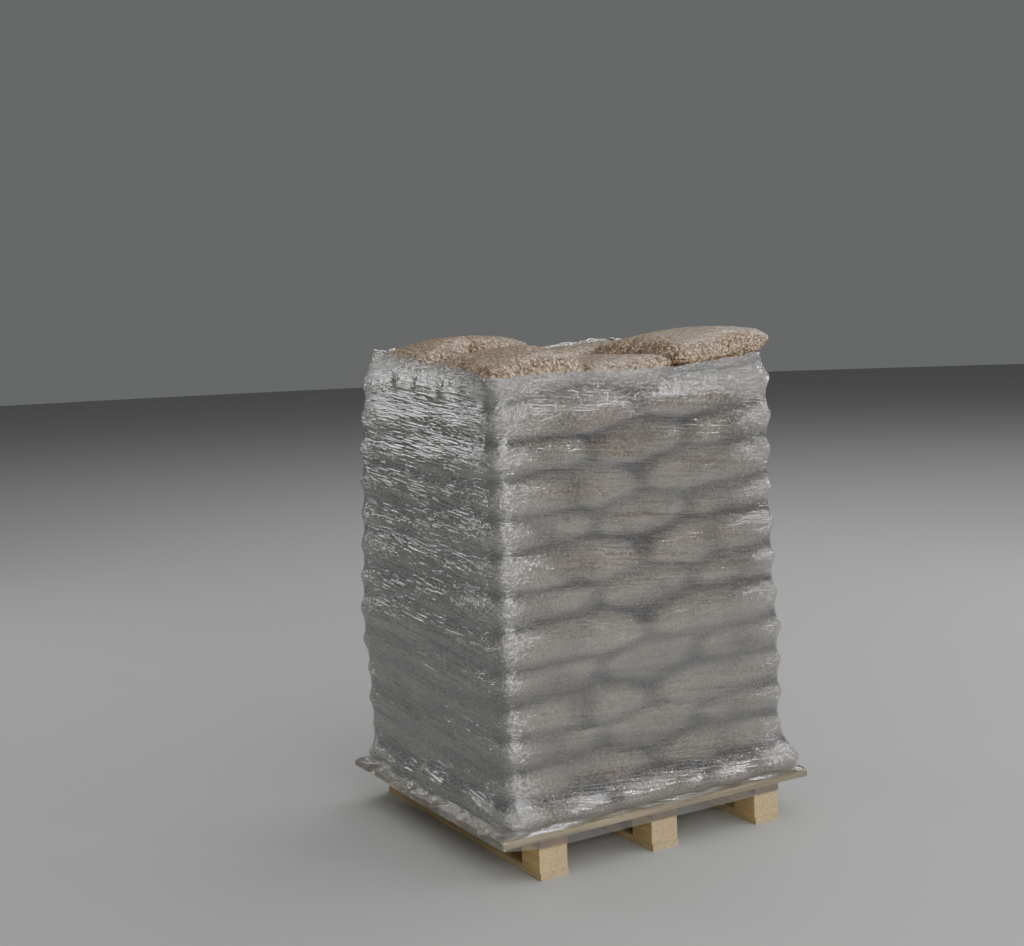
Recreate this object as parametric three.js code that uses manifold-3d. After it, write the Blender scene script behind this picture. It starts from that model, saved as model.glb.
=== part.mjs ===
// A pallet loaded with sacks of wood pellets and wrapped in stretch film.
// Millimetres. X runs along the pallet's long side, Y across it, Z up from the floor under the skids.

import * as THREE from "three";
import { mergeVertices } from "three/addons/utils/BufferGeometryUtils.js";
import Module from "manifold-3d";

const wasm = await Module();
wasm.setup();

// Pallet: three skids, nine blocks, three stringers and seven deck boards.
const PALLET_LENGTH = 1200;
const PALLET_WIDTH = 1000;
const BOARD_THICKNESS = 22;
const BOARD_WIDTH = 100;
const DECK_BOARDS = 7;
const BLOCK_SIDE = 100;
const BLOCK_HEIGHT = 78;
const BLOCK_INSET = 5;
const COLUMN_SPACING = 422;
const DECK_TOP = 3 * BOARD_THICKNESS + BLOCK_HEIGHT;
const DECK_OUTLINE = {
  left: -PALLET_LENGTH / 2,
  front: -PALLET_WIDTH / 2,
  right: PALLET_LENGTH / 2,
  back: PALLET_WIDTH / 2,
};

// Load: thirteen layers of five sacks. The lower layers are squeezed thinner by the load above,
// and the pile has settled so that its layers climb towards +X.
const LAYERS = 13;
const BOTTOM_THICKNESS = 89;
const THICKNESS_GAIN = 5.5;
const FULL_THICKNESS = 113.3;
const TOP_CLIMB = 82;
const CLIMB_POWER = 0.8;

// Plan of the pile. The jogs are how far each layer, from the bottom up, sits off the pile's line.
const LEFT = -560;
const FRONT = -467;
const RIGHT = 562;
const BACK = 499;
const RIGHT_LEAN = 3.9;
const BACK_LEAN = 80;
const LEFT_JOGS = [13, 7, 1, 5, -7, -12, -6, -3, 1, -2, -7, -4, 0];
const RIGHT_JOGS = [8, -4, 2, 8, 6, -8, -4, 1, 0, 3, 6, 10, 0];
const LONG_SHARE = 0.6;

// Sack: a pillow with flat faces where it is pressed, bulging sides and a seam-deep groove to the next.
const CORNER_RADIUS = 55;
const SEAM_INSET = 34;
const SHOULDER_INSET = 10;
const SHOULDER_SHARE = 0.2;
const LAP = 6;

// The top layer's sacks swell freely: crown heights above the layer's own bottom plane.
const TOP_BULGE = 42;
const FRONT_CROWNS = [151, 106, 130];
const BACK_CROWNS = [192, 135];
const DOME_STEPS = [[0.22, 10], [0.5, 34], [0.8, 80], [1, 130]];

// Stretch film: one skin round the load, from its hem under the deck's edge to its rim on the top layer.
const FILM_THICKNESS = 1;
const FILM_DIP = 4;
const FILM_SIDE_STEPS = 5;
const DECK_FILM_GAP = 0.6;
const HEM_LOW = 98;
const HEM_HIGH = 120;
const RIM_LOW = 20;
const RIM_EXTRA = 30;
const RIM_INSET = 3;

const CLEARANCE = 0.3;

const pine = { color: 0xbfb18c, roughness: 0.8, metalness: 0 };
const darkPine = { color: 0xb0967a, roughness: 0.85, metalness: 0 };
const sackFilm = { color: 0x96805f, roughness: 0.45, metalness: 0 };
const stretchFilm = { color: 0xc6c7c6, roughness: 0.3, metalness: 0, transparent: true, opacity: 0.35 };

const pallet = new THREE.Group();

function addPiece(name, geometry, finish, x = 0, y = 0, z = 0) {
  const mesh = new THREE.Mesh(geometry, new THREE.MeshStandardMaterial(finish));
  mesh.name = name;
  mesh.position.set(x, y, z);
  pallet.add(mesh);
}

// Timber: every piece is a plain sawn box that lies flat on the one below.

function addTimber() {
  const columns = { left: -COLUMN_SPACING, centre: 0, right: COLUMN_SPACING };
  const rows = { front: -1, middle: 0, back: 1 };
  const rowSpacing = (PALLET_WIDTH - BLOCK_SIDE) / 2 - BLOCK_INSET;
  const skid = new THREE.BoxGeometry(BOARD_WIDTH, PALLET_WIDTH, BOARD_THICKNESS);
  const block = new THREE.BoxGeometry(BLOCK_SIDE, BLOCK_SIDE, BLOCK_HEIGHT);
  const skidCentre = BOARD_THICKNESS / 2;
  const blockCentre = BOARD_THICKNESS + BLOCK_HEIGHT / 2;
  const stringerCentre = BOARD_THICKNESS + BLOCK_HEIGHT + BOARD_THICKNESS / 2;

  for (const [column, x] of Object.entries(columns)) {
    addPiece(`skid_${column}`, skid, pine, x, 0, skidCentre);
    for (const [row, side] of Object.entries(rows)) {
      addPiece(`block_${row}_${column}`, block, pine, x, side * rowSpacing, blockCentre);
    }
    addPiece(`stringer_${column}`, skid, darkPine, x, 0, stringerCentre);
  }

  const deckBoard = new THREE.BoxGeometry(PALLET_LENGTH, BOARD_WIDTH, BOARD_THICKNESS);
  const pitch = (PALLET_WIDTH - BOARD_WIDTH) / (DECK_BOARDS - 1);
  for (let i = 0; i < DECK_BOARDS; i++) {
    const y = (i - (DECK_BOARDS - 1) / 2) * pitch;
    addPiece(`deck_board_${i + 1}`, deckBoard, pine, 0, y, DECK_TOP - BOARD_THICKNESS / 2);
  }
}

// Height of the plane that layer number `index` lies on. Plane 0 is the deck.
function planeHeight(index, x) {
  let height = DECK_TOP;
  for (let below = 0; below < index; below++) {
    height += Math.min(BOTTOM_THICKNESS + THICKNESS_GAIN * below, FULL_THICKNESS);
  }
  const climb = TOP_CLIMB * (index / (LAYERS - 1)) ** CLIMB_POWER;
  return height + climb * (x - LEFT) / (RIGHT - LEFT);
}

// Rectangle in plan that a layer fills at the height of its bulge.
function layerOutline(index) {
  const fromWidest = (index - 4.5) / (LAYERS - 1 - 4.5);
  return {
    left: LEFT + LEFT_JOGS[index],
    front: FRONT + LEFT_JOGS[index],
    right: RIGHT - RIGHT_LEAN * index + RIGHT_JOGS[index],
    back: BACK - BACK_LEAN * fromWidest ** 2,
  };
}

function grown(box, by) {
  return { left: box.left - by, front: box.front - by, right: box.right + by, back: box.back + by };
}

// Points of a rectangle with round corners, counter-clockwise, each corner an arc of three points.
// Each side is cut into sideSteps stretches.
function roundedLoop(box, radius, sideSteps = 1) {
  const corners = [
    [box.right - radius, box.back - radius],
    [box.left + radius, box.back - radius],
    [box.left + radius, box.front + radius],
    [box.right - radius, box.front + radius],
  ];
  const loop = [];
  corners.forEach(([cx, cy], quarter) => {
    for (let step = 0; step <= 2; step++) {
      const angle = (quarter + step / 2) * Math.PI / 2;
      loop.push(new THREE.Vector2(cx + radius * Math.cos(angle), cy + radius * Math.sin(angle)));
    }
    const [nx, ny] = corners[(quarter + 1) % 4];
    const from = loop[loop.length - 1];
    const out = (quarter + 1) * Math.PI / 2;
    const to = new THREE.Vector2(nx + radius * Math.cos(out), ny + radius * Math.sin(out));
    for (let step = 1; step < sideSteps; step++) {
      loop.push(from.clone().lerp(to, step / sideSteps));
    }
  });
  return loop;
}

// Closed skin through rings of equally many points. Rings run upwards and counter-clockwise.
// A capped skin ends in flat faces; a looped one runs from its last ring back to its first.
function skinGeometry(rings, looped = false) {
  const size = rings[0].length;
  const positions = rings.flat().flatMap((point) => [point.x, point.y, point.z]);
  const index = [];
  const bands = looped ? rings.length : rings.length - 1;
  for (let band = 0; band < bands; band++) {
    const low = band * size;
    const high = ((band + 1) % rings.length) * size;
    for (let i = 0; i < size; i++) {
      const next = (i + 1) % size;
      index.push(low + i, low + next, high + next, low + i, high + next, high + i);
    }
  }
  if (!looped) {
    const top = (rings.length - 1) * size;
    for (let i = 1; i < size - 1; i++) {
      index.push(0, i + 1, i, top, top + i, top + i + 1);
    }
  }
  const geometry = new THREE.BufferGeometry();
  geometry.setAttribute("position", new THREE.Float32BufferAttribute(positions, 3));
  geometry.setIndex(index);
  return geometry;
}

function solidFrom(geometry) {
  const merged = mergeVertices(geometry);
  const mesh = new wasm.Mesh({
    numProp: 3,
    vertProperties: Float32Array.from(merged.attributes.position.array),
    triVerts: Uint32Array.from(merged.index.array),
  });
  return new wasm.Manifold(mesh);
}

function geometryFrom(solid) {
  const mesh = solid.getMesh();
  const geometry = new THREE.BufferGeometry();
  geometry.setAttribute("position", new THREE.BufferAttribute(mesh.vertProperties, 3));
  geometry.setIndex(new THREE.BufferAttribute(mesh.triVerts, 1));
  return geometry;
}

// One ring of a sack: its plan box drawn in by `inset`, each point at the height that heightAt gives.
function sackRing(box, inset, heightAt) {
  return roundedLoop(grown(box, -inset), CORNER_RADIUS).map(
    (point) => new THREE.Vector3(point.x, point.y, heightAt(point.x)),
  );
}

// A sack between two layers: pressed flat above and below.
function pressedSack(box, index) {
  const profile = [
    [0, SEAM_INSET],
    [SHOULDER_SHARE, SHOULDER_INSET],
    [0.5, 0],
    [1 - SHOULDER_SHARE, SHOULDER_INSET],
    [1, SEAM_INSET],
  ];
  return skinGeometry(profile.map(([share, inset]) => sackRing(box, inset, (x) => {
    const low = planeHeight(index, x) + CLEARANCE;
    return low + share * (planeHeight(index + 1, x) - low);
  })));
}

// A sack of the top layer: flat below, domed above.
function domedSack(box, index, crown) {
  const low = (x) => planeHeight(index, x) + CLEARANCE;
  const rings = [
    sackRing(box, SEAM_INSET, low),
    sackRing(box, SHOULDER_INSET, (x) => low(x) + SHOULDER_SHARE * 2 * TOP_BULGE),
    sackRing(box, 0, (x) => low(x) + TOP_BULGE),
  ];
  for (const [share, inset] of DOME_STEPS) {
    rings.push(sackRing(box, inset, (x) => low(x) + TOP_BULGE + share * (crown - TOP_BULGE)));
  }
  return skinGeometry(rings);
}

// Side-by-side boxes that fill a row of a layer and lap into each other by LAP.
function rowBoxes(row, count) {
  const width = (row.right - row.left) / count;
  return Array.from({ length: count }, (unused, i) => ({
    ...row,
    left: row.left + i * width - (i > 0 ? LAP : 0),
    right: row.left + (i + 1) * width + (i < count - 1 ? LAP : 0),
  }));
}

// Five sacks: three lie crosswise in one row and two lengthwise in the other. The crosswise row
// is in front in the first layer and changes sides with every layer.
function layerSacks(index) {
  const outline = layerOutline(index);
  const crosswiseInFront = index % 2 === 0;
  const depth = outline.back - outline.front;
  const split = outline.front + depth * (crosswiseInFront ? LONG_SHARE : 1 - LONG_SHARE);
  const front = rowBoxes({ ...outline, back: split + LAP }, crosswiseInFront ? 3 : 2);
  const back = rowBoxes({ ...outline, front: split - LAP }, crosswiseInFront ? 2 : 3);
  if (index < LAYERS - 1) return [...front, ...back].map((box) => pressedSack(box, index));
  return [
    ...front.map((box, i) => domedSack(box, index, FRONT_CROWNS[i])),
    ...back.map((box, i) => domedSack(box, index, BACK_CROWNS[i])),
  ];
}

function addSacks() {
  for (let index = 0; index < LAYERS; index++) {
    const [first, ...others] = layerSacks(index).map(solidFrom);
    const layer = others.reduce((joined, sack) => joined.add(sack), first);
    const number = String(index + 1).padStart(2, "0");
    addPiece(`sack_layer_${number}`, geometryFrom(layer), sackFilm);
  }
}

// Film ring round a plan box, its points lifted to heightAt(x, y).
function filmRing(box, radius, heightAt) {
  return roundedLoop(box, radius, FILM_SIDE_STEPS).map(
    (point) => new THREE.Vector3(point.x, point.y, heightAt(point.x, point.y)),
  );
}

// The hem hangs lower along the middle of the front and back than at the corners and ends.
function hemHeight(x, y) {
  const onLongSide = Math.abs(y) > PALLET_WIDTH / 2;
  const nearCorner = Math.abs(x) > PALLET_LENGTH / 2 - 3 * CORNER_RADIUS;
  return onLongSide && !nearCorner ? HEM_LOW : HEM_HIGH;
}

function midBox(a, b) {
  return {
    left: (a.left + b.left) / 2,
    front: (a.front + b.front) / 2,
    right: (a.right + b.right) / 2,
    back: (a.back + b.back) / 2,
  };
}

// Rings of one side of the film, `offset` out from the load. The film touches each layer's bulge
// and dips a little between two bulges.
function filmRings(offset) {
  const deckBox = grown(DECK_OUTLINE, DECK_FILM_GAP + offset);
  const deckRadius = 1 + offset;
  const overDeck = DECK_TOP + CLEARANCE + offset;
  const rings = [
    filmRing(deckBox, deckRadius, hemHeight),
    filmRing(deckBox, deckRadius, () => overDeck),
  ];
  const out = CLEARANCE + offset;
  for (let index = 0; index < LAYERS; index++) {
    const outline = layerOutline(index);
    if (index > 0) {
      const between = midBox(layerOutline(index - 1), outline);
      rings.push(filmRing(grown(between, out - FILM_DIP), CORNER_RADIUS + out, (x) => planeHeight(index, x)));
    }
    const isTop = index === LAYERS - 1;
    rings.push(filmRing(grown(outline, out), CORNER_RADIUS + out, (x) => isTop
      ? planeHeight(index, x) + TOP_BULGE
      : (planeHeight(index, x) + planeHeight(index + 1, x)) / 2));
  }
  const top = layerOutline(LAYERS - 1);
  rings.push(filmRing(grown(top, out - RIM_INSET), CORNER_RADIUS + out, (x) => {
    const share = (top.right - x) / (top.right - top.left);
    return planeHeight(LAYERS - 1, x) + TOP_BULGE + RIM_LOW + RIM_EXTRA * share;
  }));
  return rings;
}

function addFilm() {
  const outer = filmRings(FILM_THICKNESS);
  const inner = filmRings(0).reverse();
  addPiece("stretch_wrap", skinGeometry([...outer, ...inner], true), stretchFilm);
}

addTimber();
addSacks();
addFilm();

export default pallet;
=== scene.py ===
# %% [markdown]
# # A wrapped pallet of pellet sacks
#
# Wood pellets for stoves are sold in clear polythene sacks of 15 kg. Sixty-five of them lie on a
# wooden pallet, five to a layer, and stretch film holds the load. This lesson dresses the solids
# of such a pallet: the timber keeps its solids and gets its finish, while every sack and the film
# are modelled anew.
#
# We start from the imported solids.

# %% Load the solids
import math

import bmesh
import bpy
import numpy as np
from mathutils import Matrix, Vector, noise
from mathutils.bvhtree import BVHTree


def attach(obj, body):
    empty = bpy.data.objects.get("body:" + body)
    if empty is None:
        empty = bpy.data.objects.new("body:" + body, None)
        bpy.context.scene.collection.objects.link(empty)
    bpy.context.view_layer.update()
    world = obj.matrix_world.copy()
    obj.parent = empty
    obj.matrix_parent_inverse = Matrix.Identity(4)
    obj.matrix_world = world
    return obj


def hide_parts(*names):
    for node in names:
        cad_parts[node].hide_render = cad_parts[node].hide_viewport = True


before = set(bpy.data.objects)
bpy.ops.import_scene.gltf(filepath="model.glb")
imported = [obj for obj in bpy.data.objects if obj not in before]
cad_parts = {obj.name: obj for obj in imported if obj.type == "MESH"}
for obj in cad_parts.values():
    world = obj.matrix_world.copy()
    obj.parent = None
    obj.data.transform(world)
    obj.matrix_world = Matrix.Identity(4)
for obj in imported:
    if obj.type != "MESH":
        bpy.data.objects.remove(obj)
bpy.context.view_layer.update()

# %% [markdown]
# ## Two helpers
#
# Colours are given as sRGB hex values, but the renderer counts in linear light, so one function
# turns the one into the other. A second one adds a node to a material with its settings and links,
# which keeps the materials below short.

# %% Colour and node helpers
MM = 0.001


def linear(hex_colour):
    channels = [int(hex_colour[i:i + 2], 16) / 255 for i in (1, 3, 5)]
    curved = [c / 12.92 if c <= 0.04045 else ((c + 0.055) / 1.055) ** 2.4 for c in channels]
    return (*curved, 1.0)


def add_node(tree, kind, settings=None, links=None):
    node = tree.nodes.new(kind)
    for name, value in (settings or {}).items():
        if isinstance(name, int) or name in node.inputs:
            node.inputs[name].default_value = value
        else:
            setattr(node, name, value)
    for name, source in (links or {}).items():
        tree.links.new(source, node.inputs[name])
    return node


def new_material(name):
    material = bpy.data.materials.new(name)
    material.use_nodes = True
    material.node_tree.nodes.clear()
    return material, material.node_tree


def add_piece(name, mesh, material, nodes=()):
    for polygon in mesh.polygons:
        polygon.use_smooth = True
    mesh.materials.clear()
    mesh.materials.append(material)
    piece = bpy.data.objects.new(name, mesh)
    bpy.context.scene.collection.objects.link(piece)
    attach(piece, "root")
    if nodes:
        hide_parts(*nodes)
    return piece


print("white is", linear("#ffffff"))

# %% [markdown]
# ## The pile's plan
#
# Each layer is five sacks: three crosswise in one row and two lengthwise in the other, and the
# rows change sides from layer to layer so that the joints are bonded like brickwork. The weight
# above squeezes the lower layers, and the pile has settled with a climb towards +X. These few
# dimensions are the same as those of the solids, in metres. The jogs, in millimetres, shift one
# layer's left and front or its right side a little, as in any pile.

# %% Layers and their planes
LAYERS = 13
DECK_TOP = 144 * MM
DECK_HALF = (600 * MM, 500 * MM)
BOTTOM_THICKNESS = 89 * MM
THICKNESS_GAIN = 5.5 * MM
FULL_THICKNESS = 113.3 * MM
TOP_CLIMB = 82 * MM
CLIMB_POWER = 0.8
LEFT, RIGHT, FRONT, BACK = -560 * MM, 562 * MM, -467 * MM, 499 * MM
RIGHT_LEAN = 3.9 * MM
BACK_LEAN = 80 * MM
WIDEST_LAYER = 4.5
LEFT_JOGS = [13, 7, 1, 5, -7, -12, -6, -3, 1, -2, -7, -4, 0]
RIGHT_JOGS = [8, -4, 2, 8, 6, -8, -4, 1, 0, 3, 6, 10, 0]
CROSSWISE_SHARE = 0.6


def plane_height(index, x):
    thicknesses = [min(BOTTOM_THICKNESS + THICKNESS_GAIN * i, FULL_THICKNESS) for i in range(index)]
    climb = TOP_CLIMB * (index / (LAYERS - 1)) ** CLIMB_POWER
    return DECK_TOP + sum(thicknesses) + climb * (x - LEFT) / (RIGHT - LEFT)


def layer_outline(index):
    from_widest = (index - WIDEST_LAYER) / (LAYERS - 1 - WIDEST_LAYER)
    return (
        LEFT + LEFT_JOGS[index] * MM,
        FRONT + LEFT_JOGS[index] * MM,
        RIGHT - RIGHT_LEAN * index + RIGHT_JOGS[index] * MM,
        BACK - BACK_LEAN * from_widest ** 2,
    )


def row_boxes(left, front, right, back, count):
    width = (right - left) / count
    return [(left + i * width, front, left + (i + 1) * width, back) for i in range(count)]


def layer_boxes(index):
    """The five sacks' plan boxes, as (box, lengthwise, in front)."""
    left, front, right, back = layer_outline(index)
    crosswise_in_front = index % 2 == 0
    share = CROSSWISE_SHARE if crosswise_in_front else 1 - CROSSWISE_SHARE
    split = front + (back - front) * share
    in_front = row_boxes(left, front, right, split, 3 if crosswise_in_front else 2)
    behind = row_boxes(left, split, right, back, 2 if crosswise_in_front else 3)
    return [(box, not crosswise_in_front, True) for box in in_front] + [
        (box, crosswise_in_front, False) for box in behind
    ]


print("top layer stands at", round(plane_height(LAYERS - 1, 0), 3), "m")

# %% [markdown]
# ## One bag, blown up
#
# A polythene sack starts as a flat tube, welded at both ends. Its wrinkles come from filling: the
# flat ends have to gather where the middle swells. We let the cloth simulation find them. Two
# grids lie on each other and are joined round the edge, and air pressure swells them. Three bags
# with different small bumps give three sets of wrinkles, and each is used many times, turned
# about, because simulating every sack would take minutes.

# %% A flat bag
BAG_LENGTH = 620 * MM
BAG_WIDTH = 440 * MM
BAG_CELL = 10 * MM
FLAT_HALF, FLAT_BUMPS = 4, 3  # in millimetres
BUMPS_PER_METRE = 9
SHEETS_APART = 3
SEAM_SLOPE = 12


def flat_bag(seed):
    """Two sheets joined round the edge, a few millimetres apart and a little bumpy."""
    cells = (round(BAG_LENGTH / BAG_CELL), round(BAG_WIDTH / BAG_CELL))
    bag = bmesh.new()
    for side in (1, -1):
        sheet = bmesh.ops.create_grid(bag, x_segments=cells[0], y_segments=cells[1], size=0.5)
        for vert in sheet["verts"]:
            seam = min(1, SEAM_SLOPE * (0.5 - abs(vert.co.x)), SEAM_SLOPE * (0.5 - abs(vert.co.y)))
            x, y = vert.co.x * BAG_LENGTH, vert.co.y * BAG_WIDTH
            spot = Vector((BUMPS_PER_METRE * x + seed, BUMPS_PER_METRE * y, SHEETS_APART * side))
            bump = noise.noise(spot)
            vert.co = Vector((x, y, side * seam * (FLAT_HALF + FLAT_BUMPS * bump) * MM))
        if side < 0:
            faces = {face for vert in sheet["verts"] for face in vert.link_faces}
            bmesh.ops.reverse_faces(bag, faces=list(faces))
    bmesh.ops.remove_doubles(bag, verts=bag.verts, dist=0.5 * MM)
    mesh = bpy.data.meshes.new("flat_bag")
    bag.to_mesh(mesh)
    bag.free()
    return mesh


print("flat bag:", BAG_LENGTH, "by", BAG_WIDTH, "m in cells of", BAG_CELL, "m")

# %% [markdown]
# The polythene hardly stretches and bends easily, so its tension is stiff and its bending soft.
# Gravity stays off, because the pile's pressure comes later. A few rounds of smoothing take the
# simulation's jitter out.

# %% Blow the bag up
BAG_PRESSURE = 8.0
BAG_FRAMES = 25
EASING = 3


def blown_up(mesh):
    bag = bpy.data.objects.new("bag", mesh)
    bpy.context.scene.collection.objects.link(bag)
    cloth = bag.modifiers.new("polythene", "CLOTH")
    film = cloth.settings
    film.quality = 6
    film.mass = 0.15
    film.tension_stiffness = film.compression_stiffness = 40
    film.shear_stiffness = 20
    film.bending_stiffness = 0.05
    film.air_damping = 2
    film.use_pressure = True
    film.uniform_pressure_force = BAG_PRESSURE
    film.effector_weights.gravity = 0
    cloth.collision_settings.use_collision = False
    cloth.collision_settings.use_self_collision = False
    cloth.point_cache.frame_end = BAG_FRAMES
    for step in range(1, BAG_FRAMES + 1):
        bpy.context.scene.frame_set(step)
    depsgraph = bpy.context.evaluated_depsgraph_get()
    swollen = bpy.data.meshes.new_from_object(bag.evaluated_get(depsgraph))
    bpy.data.objects.remove(bag)
    bpy.context.scene.frame_set(1)
    eased = bmesh.new()
    eased.from_mesh(swollen)
    for _ in range(EASING):
        bmesh.ops.smooth_vert(eased, verts=eased.verts, factor=0.5,
                              use_axis_x=True, use_axis_y=True, use_axis_z=True)
    eased.to_mesh(swollen)
    eased.free()
    return swollen


print("blown up for", BAG_FRAMES, "frames at a pressure of", BAG_PRESSURE)

# %% [markdown]
# A filled sack in a pile is squarer than a balloon. So the swollen bag is measured along its
# middle, its ears are drawn in to a rounded oblong, its edge is thinned to the welded lip, and each
# point is told how hard the neighbours will press it: most at the sides, least at the ears.

# %% Square the bags
SEEDS = (1.7, 5.2, 8.9)
MEASURED_BAND = 0.1
EAR_PULL = 0.7
EAR_POWER, TAPER_POWER = 12, 8
WELD_LIP = 12 * MM
LIP_RUN, LIP_LEAST = 2.5, 0.08
TAPER_EDGE, TAPER_RUN, TAPER_LEAST, TAPER_CURVE = 1.03, 0.13, 0.01, 0.55
END_ZONE, SIDE_ZONE = 0.2, 0.25  # shares of the bag's length and width
PRESS_SIDE, PRESS_END, PRESS_EAR = 3.0, 2.4, 1.5
BLUNT = 0.035


def coordinates(mesh):
    flat = np.empty(3 * len(mesh.vertices))
    mesh.vertices.foreach_get("co", flat)
    return flat.reshape(-1, 3)


def rounded_ring(along, across, power):
    """1 on the edge of an oblong whose corners are the sharper, the higher the power."""
    return (np.abs(along) ** power + np.abs(across) ** power) ** (1 / power)


def edge_zone(from_middle, size, share):
    """From 0 to 1 over the last share of a bag's size, towards its edge."""
    return np.clip(np.abs(from_middle) / (share * size) - (0.5 / share - 1), 0, 1)


def bag_shape(seed):
    """A swollen bag's mesh and its vertices from -1 to 1 along, across and through it."""
    flat = flat_bag(seed)
    rest = coordinates(flat)
    swollen = blown_up(flat)
    along, across, through = coordinates(swollen).T
    middle = np.abs(rest[:, 1]) < MEASURED_BAND * BAG_WIDTH
    waist = np.abs(rest[:, 0]) < MEASURED_BAND * BAG_LENGTH
    along = along / np.abs(along[middle]).max()
    across = across / np.abs(across[waist]).max()
    along = along / np.maximum(1, np.abs(along)) ** EAR_PULL
    across = across / np.maximum(1, np.abs(across)) ** EAR_PULL
    ring = rounded_ring(along, across, TAPER_POWER)
    beyond = np.maximum(1, rounded_ring(along, across, EAR_POWER))
    from_weld = BAG_LENGTH / 2 - np.abs(rest[:, 0])
    lip = np.clip((from_weld - WELD_LIP) / (LIP_RUN * WELD_LIP), LIP_LEAST, 1)
    lip = lip * np.clip((TAPER_EDGE - ring) / TAPER_RUN, TAPER_LEAST, 1) ** TAPER_CURVE
    at_end = edge_zone(rest[:, 0], BAG_LENGTH, END_ZONE)
    at_side = edge_zone(rest[:, 1], BAG_WIDTH, SIDE_ZONE)
    press = PRESS_SIDE + at_end * (PRESS_END - PRESS_SIDE + at_side * (PRESS_EAR - PRESS_END))
    through = lip * through / np.abs(through).max()
    off_the_weld = np.clip(np.abs(rest[:, 2]) / MM, 0, 1)
    through = np.sign(through) * np.maximum(np.abs(through), BLUNT * off_the_weld)
    return swollen, along / beyond, across / beyond, through, press


bags = [bag_shape(seed) for seed in SEEDS]
print("bags:", len(bags), "of", len(bags[0][1]), "points")

# %% [markdown]
# ## Pressed between layers
#
# In the pile a sack is no balloon. Its neighbours press it flat above and below, and each belly
# sags into the grooves of the layer under it. So a layer's faces are a plane that swells under the
# full middles of the sacks and dips between them. The welded edge doesn't stay at mid height
# either: in front, crosswise sacks lean on each other like shingles, and the inner ends of the
# lengthwise ones droop to the layer below and leave a three-cornered gap.

# %% Faces between layers
SAG = 22 * MM
GAP = 0.7 * MM
PACKED = 0.985
BELLY = 2.5
OUTER_BELLY = 170 * MM


def belly_box(index, box):
    """A sack's box for its belly, which reaches out past the layer's outer faces."""
    outline = layer_outline(index)
    outward = (-OUTER_BELLY, -OUTER_BELLY, OUTER_BELLY, OUTER_BELLY)
    return [side + out * math.isclose(side, outer)
            for side, outer, out in zip(box, outline, outward)]


def fullness(index, x, y):
    full = np.zeros_like(x)
    for box, _, _ in layer_boxes(index):
        left, front, right, back = belly_box(index, box)
        p = np.abs((2 * x - left - right) / (right - left))
        q = np.abs((2 * y - front - back) / (back - front))
        full = np.maximum(full, np.clip(1 - p ** BELLY, 0, 1) * np.clip(1 - q ** BELLY, 0, 1))
    return full


def face_height(index, x, y):
    """Height of the face under a layer, which is also the face on the layer below it."""
    plane = plane_height(index, x)
    if index == 0:
        return plane + 0 * x
    return plane + SAG * (fullness(index - 1, x, y) - fullness(index, x, y))


print("face under layer 7:", face_height(6, np.array([0.0]), np.array([-0.3])).round(3))

# %% [markdown]
# ## Sixty-five sacks
#
# Each sack takes one of the bags, turned to its own direction, and is fitted to its box and to the
# two faces that press it. The weight above spreads the bottom sacks out over the deck. The top
# five have nothing on them, so they keep their dome, each with a crown and a tilt of its own. The
# lists hold one value for each layer's front joints, and one for each of the top five.

# %% Where a sack's edge lies
BOTTOM_EDGE = 0.4
EDGE_LEFT, EDGE_RIGHT = 0.45, 0.6
EDGE_BEHIND = (0.42, 0.5)
JOINT_EDGES = [0.95, 0.35, 0.95, 0.3, 0.85, 0.15, 0.65, 0.02, 0.45, 0.13, 0.3, 0.0, 0.2]
TIP_OVER = 0.12
TUCKED_UNDER = 0.25
LOWEST_EDGE, HIGHEST_EDGE = 0.05, 0.97
FRONT_SPREAD, SIDE_SPREAD = 48 * MM, 34 * MM
SPREAD_POWER = 2.2
SPREAD_ZONE = 0.1


def edge_heights(index, place, lengthwise, in_front):
    """Where a sack's welded edge lies in its layer, from 0 to 1, at its -X and +X sides."""
    if not in_front:
        return EDGE_BEHIND
    if index == 0:
        return BOTTOM_EDGE, BOTTOM_EDGE
    joint = JOINT_EDGES[index]
    last = 1 if lengthwise else 2
    over, under = (0, 0) if lengthwise else (TIP_OVER, TUCKED_UNDER)
    low = EDGE_LEFT if place == 0 else max(LOWEST_EDGE, joint - under)
    high = EDGE_RIGHT if place == last else min(HIGHEST_EDGE, joint + over)
    return low, high


def spread_out(x, y, through):
    """The load squeezes the bottom sacks outward, most of all where they lie on the deck."""
    left, front, right, back = layer_outline(0)
    outward = 1 - np.clip(through, 0, 1) ** SPREAD_POWER

    def near(depth, span):
        return np.clip(1 - depth / (SPREAD_ZONE * span), 0, 1)

    at_sides = near(right - x, right - left) - near(x - left, right - left)
    at_front = near(y - front, back - front)
    return x + SIDE_SPREAD * outward * at_sides, y - FRONT_SPREAD * outward * at_front


print("edges of layer 2's first sack:", edge_heights(1, 0, True, True))

# %% Lay the sacks
TOP_BULGE = 42 * MM
CROWNS = [148 * MM, 88 * MM, 130 * MM, 186 * MM, 98 * MM]
CROWN_PRESS = 1.5
END_LIFTS = [0, 0, 45 * MM, 0, 0]
CROWN_TILTS = [20 * MM, -10 * MM, 14 * MM, 0, 0]
OVERHANGS = [(0, 0), (0, -25 * MM), (-25 * MM, 24 * MM), (0, 0), (0, 0)]
TURNED_AFTER = 3
LUMP = 1.5 * MM
LUMPS_X, LUMPS_Y = 70, 83


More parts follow.
